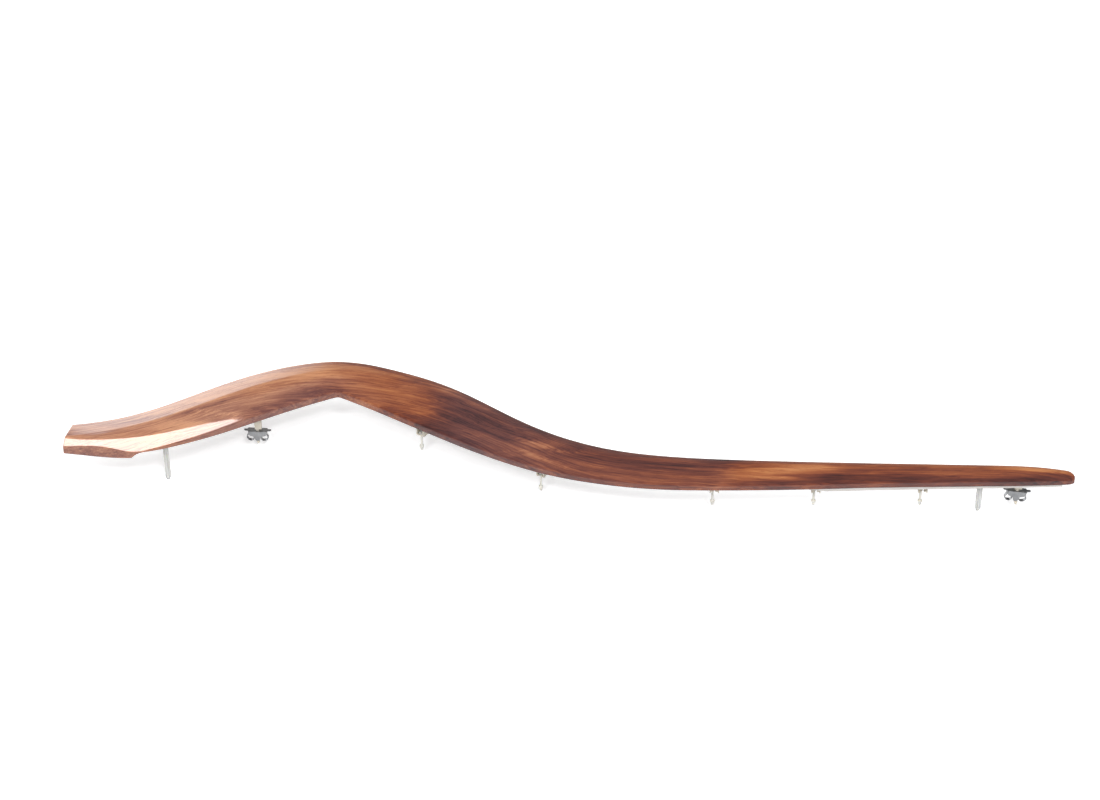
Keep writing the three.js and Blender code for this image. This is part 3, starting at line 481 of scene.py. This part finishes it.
def wood_material():
    t = Tree("lacquered_hardwood")
    P = t.coords()
    # the grain wanders a little across the rail
    wob = t.noise(t.vmul(P, (5.0, 16.0, 16.0)), 1.0, 2.0)
    wob2 = t.noise(t.vmul(P, (26.0, 70.0, 70.0)), 1.0, 2.0)
    shift = t.math("ADD", t.math("MULTIPLY", t.math("SUBTRACT", wob, 0.5), 0.020), t.math("MULTIPLY", t.math("SUBTRACT", wob2, 0.5), 0.004))
    comb = t.nt.nodes.new("ShaderNodeCombineXYZ")
    t.link(t.math("ADD", shift, t.attr("course")), comb.inputs[1])
    t.link(shift, comb.inputs[2])
    G = t.vadd(P, comb.outputs[0])
    broad = t.noise(t.vmul(G, (7.0, 170.0, 120.0)), 1.0, 4.0, 0.55)
    streak = t.noise(t.vmul(G, (13.0, 520.0, 360.0)), 1.0, 5.0, 0.65)
    fine = t.noise(t.vmul(G, (36.0, 1500.0, 1100.0)), 1.0, 3.0, 0.6)
    pore = t.noise(t.vmul(G, (110.0, 1700.0, 1300.0)), 1.0, 2.0, 0.5)
    fig = t.attr("figure")
    f = t.math("ADD", fig, t.math("MULTIPLY", t.math("SUBTRACT", broad, 0.5), 0.50))
    f = t.math("ADD", f, t.math("MULTIPLY", t.math("SUBTRACT", streak, 0.5), 1.0))
    f = t.math("ADD", f, t.math("MULTIPLY", t.math("SUBTRACT", fine, 0.5), 0.52), clamp=True)
    warm = t.ramp(f, [(0.0, (0.520, 0.205, 0.072)), (0.22, (0.365, 0.112, 0.036)), (0.42, (0.240, 0.061, 0.022)),
                      (0.60, (0.150, 0.036, 0.019)), (0.80, (0.080, 0.021, 0.015)), (1.0, (0.028, 0.011, 0.011))])
    cool = t.ramp(f, [(0.0, (0.570, 0.280, 0.155)), (0.22, (0.380, 0.168, 0.102)), (0.42, (0.255, 0.098, 0.066)),
                      (0.60, (0.160, 0.060, 0.050)), (0.80, (0.088, 0.034, 0.036)), (1.0, (0.034, 0.016, 0.020))])
    col = t.mix(t.attr("violet"), warm, cool)
    pores = t.ramp(pore, [(0.0, grey(0.55)), (0.34, grey(0.66)), (0.42, grey(1.0)), (1.0, grey(1.0))])
    col = t.mix(0.75, col, pores, "MULTIPLY")
    rough = t.math("ADD", 0.38, t.math("MULTIPLY", fine, 0.2))
    peel = t.noise(t.vmul(P, (260.0, 260.0, 260.0)), 1.0, 2.0)
    dust = t.noise(t.vmul(P, (40.0, 90.0, 90.0)), 1.0, 5.0, 0.7)
    coat_rough = t.math("ADD", 0.025, t.math("MULTIPLY", t.math("POWER", dust, 3.0), 0.08))
    coat_n = t.bump(peel, 0.035, 0.0006)
    base_n = t.bump(fine, 0.12, 0.0002)
    return t.finish(Base_Color=col, Roughness=rough, Specular_IOR_Level=0.25, Coat_Weight=1.0, Coat_Roughness=coat_rough, Coat_IOR=1.52, Coat_Normal=coat_n, Normal=base_n)


def plastic(name, base, dark, rough=0.45, sss=0.0, grain=700.0, transmission=0.0, bump=0.15):
    t = Tree(name)
    P = t.coords()
    cloud = t.noise(t.vmul(P, (38.0, 38.0, 38.0)), 1.0, 4.0, 0.6)
    tex = t.noise(P, grain, 3.0, 0.6)
    flow = t.noise(t.vmul(P, (30.0, 210.0, 120.0)), 1.0, 3.0, 0.6, 1.5)
    f = t.math("ADD", t.math("MULTIPLY", cloud, 0.6), t.math("MULTIPLY", flow, 0.4))
    col = t.ramp(f, [(0.28, dark), (0.72, base)])
    r = t.math("ADD", rough - 0.07, t.math("MULTIPLY", tex, 0.16))
    kw = dict(Base_Color=col, Roughness=r, Specular_IOR_Level=0.5, Normal=t.bump(tex, bump, 0.0002))
    if sss:
        kw.update(Subsurface_Weight=sss, Subsurface_Scale=0.004, Subsurface_Radius=(1.0, 0.85, 0.65))
    if transmission:
        kw.update(Transmission_Weight=transmission, IOR=1.5)
    return t.finish(**kw)


def metal(name, base, dark, rough=0.3, scratch=(900.0, 60.0, 60.0), tarnish=0.35):
    t = Tree(name)
    P = t.coords()
    blotch = t.noise(t.vmul(P, (160.0, 160.0, 160.0)), 1.0, 5.0, 0.65)
    lines = t.noise(t.vmul(P, scratch), 1.0, 3.0, 0.6)
    edge = t.noise(P, 1400.0, 2.0)
    f = t.math("ADD", t.math("MULTIPLY", blotch, 1 - tarnish), t.math("MULTIPLY", lines, tarnish))
    col = t.ramp(f, [(0.30, dark), (0.70, base)])
    r = t.math("ADD", rough - 0.06, t.math("MULTIPLY", blotch, 0.2))
    return t.finish(Base_Color=col, Metallic=1.0, Roughness=r, Normal=t.bump(t.math("ADD", lines, t.math("MULTIPLY", edge, 0.4)), 0.12, 0.0001))


MATS = {
    "lacquered_hardwood": wood_material(),
    "carrier_plastic": plastic("carrier_plastic", (0.66, 0.63, 0.60), (0.54, 0.50, 0.48), 0.5),
    "dock_plastic": plastic("dock_plastic", (0.76, 0.71, 0.61), (0.62, 0.56, 0.46), 0.42, sss=0.15),
    "natural_nylon": plastic("natural_nylon", (0.80, 0.79, 0.74), (0.66, 0.645, 0.59), 0.36, sss=0.35),
    "translucent_plastic": plastic("translucent_plastic", (0.97, 0.97, 0.94), (0.89, 0.89, 0.86), 0.22, sss=0.3, transmission=0.45),
    "spring_steel": metal("spring_steel", (0.46, 0.465, 0.47), (0.22, 0.225, 0.235), 0.30),
    "zinc_screw": metal("zinc_screw", (0.62, 0.62, 0.60), (0.40, 0.40, 0.38), 0.28),
}


def dress(ob, slot_name):
    ob.data.materials.clear()
    ob.data.materials.append(MATS[slot_name])
    for p in ob.data.polygons:
        p.material_index = 0


# ----------------------------------------------------------------------------
# Build
# ----------------------------------------------------------------------------
cap = build_cap()
paint_cap(cap)
dress(cap, "lacquered_hardwood")

def shell(bm, top, bottom, closed=False):
    """A closed strip between two rows of matching edge loops, each a list of points."""
    n, m = len(top), len(top[0])
    A = [[bm.verts.new(p) for p in row] for row in top]
    B = [[bm.verts.new(p) for p in row] for row in bottom]
    for i in range(n - 1):
        for j in range(m - 1):
            bm.faces.new((A[i][j], A[i + 1][j], A[i + 1][j + 1], A[i][j + 1]))
            bm.faces.new((B[i][j], B[i][j + 1], B[i + 1][j + 1], B[i + 1][j]))
        bm.faces.new((A[i][0], B[i][0], B[i + 1][0], A[i + 1][0]))
        bm.faces.new((A[i][-1], A[i + 1][-1], B[i + 1][-1], B[i][-1]))
    for j in range(m - 1):
        bm.faces.new((A[0][j], A[0][j + 1], B[0][j + 1], B[0][j]))
        bm.faces.new((A[-1][j], B[-1][j], B[-1][j + 1], A[-1][j + 1]))


def bend(path, r, n=6):
    """A polyline with its corners rounded."""
    out = [path[0]]
    for k in range(1, len(path) - 1):
        p, a, b = Vector(path[k]), Vector(path[k - 1]), Vector(path[k + 1])
        q = min(r, 0.45 * (p - a).length, 0.45 * (b - p).length)
        s0, s1 = p + (a - p).normalized() * q, p + (b - p).normalized() * q
        out += [tuple((1 - u) ** 2 * s0 + 2 * u * (1 - u) * p + u * u * s1) for u in (i / n for i in range(n + 1))]
    return out + [path[-1]]


def strip(bm, path, half, t, M):
    """Sheet of thickness t following a path in x and z, reaching half(i) either side in y."""
    top, bot = [], []
    for i, p in enumerate(path):
        a, b = Vector(path[max(0, i - 1)]), Vector(path[min(len(path) - 1, i + 1)])
        d = (b - a).normalized()
        nx, nz = -d[1] * t / 2, d[0] * t / 2
        h = half(i, p)
        ys = [-h, -h + 0.12, 0, h - 0.12, h]
        e = [0.5, 1, 1, 1, 0.5]
        top.append([M @ Vector((p[0] + nx * k, y, p[1] + nz * k)) for y, k in zip(ys, e)])
        bot.append([M @ Vector((p[0] - nx * k, y, p[1] - nz * k)) for y, k in zip(ys, e)])
    shell(bm, top, bot)


def clip(i, x, y, level, tilt):
    shift = 0.1 if abs(tilt) > 5 else 0.0
    M = Matrix.Translation(O) @ Matrix.Scale(MM, 4) @ Matrix.Translation((x + shift, y, level + 0.3)) @ Matrix.Rotation(math.radians(-tilt), 4, "Y")
    bm = bmesh.new()
    T = 0.8
    # top plate with its two turned-up wings
    xs = [-13.3, -12.6, -11.6, -10.4, -9.75, -9.55, -7, -4, 0, 4, 7, 9.55, 9.75, 10.4, 11.6, 12.6, 13.3]
    lift = lambda q: 0.35 * max(0.0, (abs(q) - 10.6) / 2.7) ** 1.5
    strip(bm, [(q, -T / 2 + lift(q)) for q in xs], lambda k, p: 3.55 if abs(p[0]) < 9.7 else (1.55 if abs(p[0]) < 12.7 else 1.15), T, M)
    for sg in (-1, 1):
        path = bend([(8.85, -0.7), (8.9, -5.2), (10.9, -8.3), (8.7, -11.8), (5.2, -12.3), (3.3, -9.9), (3.5, -7.6)], 1.5)
        path = [(sg * a, b) for a, b in path]
        strip(bm, path, lambda k, p: 1.75, T * 0.95, M)
        # shoulder of the leg, nearly as wide as the plate
        strip(bm, [(sg * 8.85, -0.7), (sg * 8.87, -2.4), (sg * 8.88, -4.4)], lambda k, p: 2.9, T * 0.9, M)
    for yy in (-3.2, 3.2):
        # skirt, wide at the shoulders and narrowing to a tongue
        zs = [-0.35, -2.5, -4.6, -5.2, -5.9, -6.5, -7.3, -8.6, -10.0, -10.8, -11.2, -11.35]
        hw = [8.4, 8.4, 8.3, 7.6, 5.2, 3.9, 3.1, 2.7, 2.3, 1.7, 1.2, 0.7]
        top, bot = [], []
        for z, h in zip(zs, hw):
            row = [-h, -h * 0.6, 0, h * 0.6, h]
            curl = 0.25 * max(0.0, (-z - 8) / 3.3) ** 2 * (1 if yy < 0 else -1)
            top.append([M @ Vector((q, yy + 0.38 + curl, z)) for q in row])
            bot.append([M @ Vector((q, yy - 0.38 + curl, z)) for q in row])
        shell(bm, top, bot)
    bmesh.ops.recalc_face_normals(bm, faces=bm.faces)
    me = bpy.data.meshes.new(f"clip_{i}")
    bm.to_mesh(me)
    bm.free()
    me.polygons.foreach_set("use_smooth", [True] * len(me.polygons))
    me.set_sharp_from_angle(angle=math.radians(35))
    ob = bpy.data.objects.new(f"bent_clip_{i}", me)
    bpy.context.scene.collection.objects.link(ob)
    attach(ob, "rail")
    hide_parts(f"spring_clip_{i}")
    dress(ob, "spring_steel")


def pin(i, x, y, heading, plate):
    bottom, t = plate - 1.5, -32.0
    prof = [(0, plate + 0.6), (1.25, plate + 0.6), (1.25, bottom - 0.35), (1.62, bottom - 0.42), (1.7, bottom - 0.55), (1.7, bottom - 1.1), (1.6, bottom - 1.2), (1.15, bottom - 1.5),
            (1.12, t + 8.0), (1.15, t + 6.6), (1.5, t + 6.25), (2.3, t + 6.15), (2.5, t + 5.95), (2.54, t + 5.4), (2.4, t + 4.9), (1.6, t + 3.5), (1.55, t + 3.2), (1.72, t + 2.95), (1.68, t + 2.6), (0.8, t + 0.45), (0.45, t + 0.12), (0, t)]
    M = Matrix.Translation(O) @ Matrix.Scale(MM, 4) @ Matrix.Translation((x, y, 0)) @ Matrix.Rotation(math.radians(heading), 4, "Z")
    bm = bmesh.new()
    N = 36
    rows = []
    for r, z in prof:
        if r == 0:
            rows.append([bm.verts.new(M @ Vector((0, 0, z)))])
        else:
            rows.append([bm.verts.new(M @ Vector((r * math.cos(2 * math.pi * k / N), r * math.sin(2 * math.pi * k / N), z))) for k in range(N)])
    for a, b in zip(rows, rows[1:]):
        for k in range(N):
            k2 = (k + 1) % N
            if len(a) == 1:
                bm.faces.new((a[0], b[k], b[k2]))
            elif len(b) == 1:
                bm.faces.new((a[k], b[0], a[k2]))
            else:
                bm.faces.new((a[k], b[k], b[k2], a[k2]))
    # oval head that sits in the dock
    rings = []
    for f, z in ((0.86, plate + 0.32), (1.0, plate + 0.5), (1.0, plate + 1.4), (0.88, plate + 1.58)):
        ring = []
        for k in range(32):
            a = 2 * math.pi * k / 32
            c, s_ = math.cos(a), math.sin(a)
            ring.append(bm.verts.new(M @ Vector((1.5 * f * math.copysign(abs(c) ** 0.5, c), 2.8 * f * math.copysign(abs(s_) ** 0.7, s_), z))))
        rings.append(ring)
    for a, b in zip(rings, rings[1:]):
        for k in range(32):
            bm.faces.new((a[k], a[(k + 1) % 32], b[(k + 1) % 32], b[k]))
    bm.faces.new(rings[0][::-1])
    bm.faces.new(rings[-1])
    bmesh.ops.recalc_face_normals(bm, faces=bm.faces)
    me = bpy.data.meshes.new(f"pin_{i}_mesh")
    bm.to_mesh(me)
    bm.free()
    me.polygons.foreach_set("use_smooth", [True] * len(me.polygons))
    me.set_sharp_from_angle(angle=math.radians(38))
    ob = bpy.data.objects.new(f"barbed_pin_{i}", me)
    bpy.context.scene.collection.objects.link(ob)
    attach(ob, f"pin_{i}")
    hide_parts(f"snap_pin_{i}")
    dress(ob, "natural_nylon")


for k, (x, y, h, plate) in enumerate([(-146.9, 108.3, -34, -10.6), (-28.7, 41.5, -28, -10.6), (136.0, 18.6, -1.5, -11.7), (233.2, 18.4, 1.5, -11.7), (335.7, 18.6, 1, -11.7)]):
    pin(k + 1, x, y, h, plate)
clip(1, -309.5, 118.0, -14.4, -2.5)
clip(2, 427.6, 18.0, -13.4, -7)

SLOT = {s["node"]: s["material_slot"] for s in RECORD["subparts"]}
BEVEL = {"backing_carrier": 0.35, "pin_dock": 0.22, "clip_tower": 0.3, "locating_post": 0.3, "spring_clip": 0.14, "snap_pin": 0.12, "cap_screw": 0.1, "dock_screw": 0.1, "tower_screw": 0.1}
for name, ob in frame["nodes"].items():
    if ob.hide_render:
        continue
    dress(ob, SLOT[name])
    width = next((w for k, w in BEVEL.items() if name.startswith(k)), 0.2)
    weld = ob.modifiers.new("weld", "WELD")
    weld.merge_threshold = 1e-6
    dec = ob.modifiers.new("planar", "DECIMATE")
    dec.decimate_type = "DISSOLVE"
    dec.angle_limit = math.radians(1.0)
    bev = ob.modifiers.new("edges", "BEVEL")
    bev.width = width * MM
    bev.segments = 2
    bev.limit_method = "ANGLE"
    bev.angle_limit = math.radians(34)
    bev.harden_normals = False
    for p in ob.data.polygons:
        p.use_smooth = False

# ----------------------------------------------------------------------------
# Stage: white table, soft light, camera
# ----------------------------------------------------------------------------
floor_z = min(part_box("locating_post_1")[0].z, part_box("locating_post_2")[0].z) - 0.00005
me = bpy.data.meshes.new("floor")
S = 30.0
me.from_pydata([(-S, -S, floor_z), (S, -S, floor_z), (S, S, floor_z), (-S, S, floor_z)], [], [(0, 1, 2, 3)])
floor = bpy.data.objects.new("floor", me)
bpy.context.scene.collection.objects.link(floor)
t = Tree("floor_white")
grain = t.noise(t.coords(), 3.0, 2.0)
geo = t.nt.nodes.new("ShaderNodeNewGeometry")
d = t.nt.nodes.new("ShaderNodeBsdfDiffuse")
t.link(t.ramp(grain, [(0.3, (0.80, 0.805, 0.815)), (0.7, (0.805, 0.81, 0.82))]), d.inputs[0])
tr = t.nt.nodes.new("ShaderNodeBsdfTransparent")
# an overexposed white sweep: lifted for the eye of the camera only
lift = t.nt.nodes.new("ShaderNodeEmission")
lp = t.nt.nodes.new("ShaderNodeLightPath")
t.link(t.math("MULTIPLY", lp.outputs["Is Camera Ray"], 0.52), lift.inputs[1])
both = t.nt.nodes.new("ShaderNodeAddShader")
t.link(d.outputs[0], both.inputs[0])
t.link(lift.outputs[0], both.inputs[1])
mx = t.nt.nodes.new("ShaderNodeMixShader")
t.link(geo.outputs["Backfacing"], mx.inputs[0])
t.link(both.outputs[0], mx.inputs[1])
t.link(tr.outputs[0], mx.inputs[2])
out = t.nt.nodes.new("ShaderNodeOutputMaterial")
t.link(mx.outputs[0], out.inputs[0])
me.materials.append(t.mat)


def sun(name, azimuth, elevation, strength, angle, color=(1, 1, 1), glossy=False):
    """A distant soft lamp. Azimuth 0 stands in front of the rail, positive to the right."""
    L = bpy.data.lights.new(name, "SUN")
    L.energy = strength
    L.angle = math.radians(angle)
    L.color = color
    o = bpy.data.objects.new(name, L)
    a, e = math.radians(azimuth), math.radians(elevation)
    src = Vector((math.sin(a) * math.cos(e), -math.cos(a) * math.cos(e), math.sin(e)))
    o.rotation_euler = (-src).to_track_quat("-Z", "Y").to_euler()
    o.location = src * 2
    o.visible_glossy = glossy
    bpy.context.scene.collection.objects.link(o)
    return o


sun("overhead", 0, 84, 1.45, 60)
sun("front_right", 20, 46, 1.06, 9)
sun("front_left", -20, 46, 1.06, 9)


def card(name, corners, strength, color=(1, 1, 1), highlight_edge_x=-0.300):
    """A softbox seen only in reflections."""
    m = bpy.data.meshes.new(name)
    m.from_pydata([tuple(Vector(c) + O) for c in corners], [], [(0, 1, 2, 3)])
    o = bpy.data.objects.new(name, m)
    bpy.context.scene.collection.objects.link(o)
    tt = Tree(name)
    em = tt.nt.nodes.new("ShaderNodeEmission")
    em.inputs[0].default_value = (*color, 1)
    # the softbox's emission is masked by the X of the point that reflects it, so its highlight is placed on the wide
    # end of the rail only
    geo = tt.nt.nodes.new("ShaderNodeNewGeometry")
    lp = tt.nt.nodes.new("ShaderNodeLightPath")
    g, q = tt.nt.nodes.new("ShaderNodeSeparateXYZ"), tt.nt.nodes.new("ShaderNodeSeparateXYZ")
    tt.link(geo.outputs["Position"], g.inputs[0])
    tt.link(geo.outputs["Incoming"], q.inputs[0])
    x0 = tt.math("MULTIPLY_ADD", q.outputs[0], lp.outputs["Ray Length"], g.outputs[0])
    mask = tt.math("DIVIDE", tt.math("SUBTRACT", highlight_edge_x + O.x, x0), 0.012, clamp=True)
    tt.link(tt.math("MULTIPLY", mask, strength), em.inputs[1])
    oo = tt.nt.nodes.new("ShaderNodeOutputMaterial")
    tt.link(em.outputs[0], oo.inputs[0])
    m.materials.append(tt.mat)
    o.visible_camera = False
    o.visible_diffuse = False
    o.visible_shadow = False
    o.visible_transmission = False
    o.visible_volume_scatter = False
    return o


card("softbox", [(-1.40, -0.46, 0.8), (0.115, -0.46, 0.8), (0.115, 0.16, 0.8), (-1.40, 0.16, 0.8)], 12.8, (1.0, 0.972, 0.94), -0.318)

world = bpy.data.worlds.new("studio")
bpy.context.scene.world = world
world.use_nodes = True
nt = world.node_tree
nt.nodes.clear()
w = Tree.__new__(Tree)
w.nt = nt
tc = nt.nodes.new("ShaderNodeTexCoord")
sep = nt.nodes.new("ShaderNodeSeparateXYZ")
w.link(tc.outputs["Generated"], sep.inputs[0])
# seen in reflections: bright low down behind the rail, dim above it
low = w.math("SUBTRACT", 1.0, w.math("DIVIDE", w.math("SUBTRACT", sep.outputs[2], 0.33), 0.10, clamp=True), clamp=True)
side = w.math("DIVIDE", w.math("SUBTRACT", -0.085, sep.outputs[0]), 0.095, clamp=True)
behind = w.math("MULTIPLY_ADD", sep.outputs[1], 1.5, 0.0, clamp=True)
bright = w.math("MULTIPLY", w.math("MULTIPLY", low, behind), side)
gloss = w.math("ADD", 0.15, w.math("MULTIPLY", bright, 2.15))
lp = nt.nodes.new("ShaderNodeLightPath")
amb = w.math("ADD", 0.34, 0.0)
mixv = nt.nodes.new("ShaderNodeMix")
mixv.data_type = "FLOAT"
w.link(lp.outputs["Is Glossy Ray"], mixv.inputs[0])
w.link(amb, mixv.inputs[2])
w.link(gloss, mixv.inputs[3])
cam_mix = nt.nodes.new("ShaderNodeMix")
cam_mix.data_type = "FLOAT"
w.link(lp.outputs["Is Camera Ray"], cam_mix.inputs[0])
w.link(mixv.outputs[0], cam_mix.inputs[2])
cam_mix.inputs[3].default_value = 1.1
bg = nt.nodes.new("ShaderNodeBackground")
bg.inputs[0].default_value = (1, 1, 1, 1)
w.link(cam_mix.outputs[0], bg.inputs[1])
wo = nt.nodes.new("ShaderNodeOutputWorld")
w.link(bg.outputs[0], wo.inputs[0])

cam_data = bpy.data.cameras.new("camera")
cam_data.lens = 85
cam_data.sensor_width = 36
cam_data.sensor_fit = "HORIZONTAL"
cam_data.clip_end = 200
camera = bpy.data.objects.new("camera", cam_data)
bpy.context.scene.collection.objects.link(camera)
camera.location = Vector((-0.020, -1.97212, 1.48523)) + O
camera.rotation_euler = (math.radians(55), 0, 0)
bpy.context.scene.camera = camera
bpy.context.scene.view_settings.view_transform = "Standard"
bpy.context.scene.view_settings.look = "None"
bpy.context.scene.view_settings.exposure = 0
bpy.context.scene.view_settings.gamma = 1
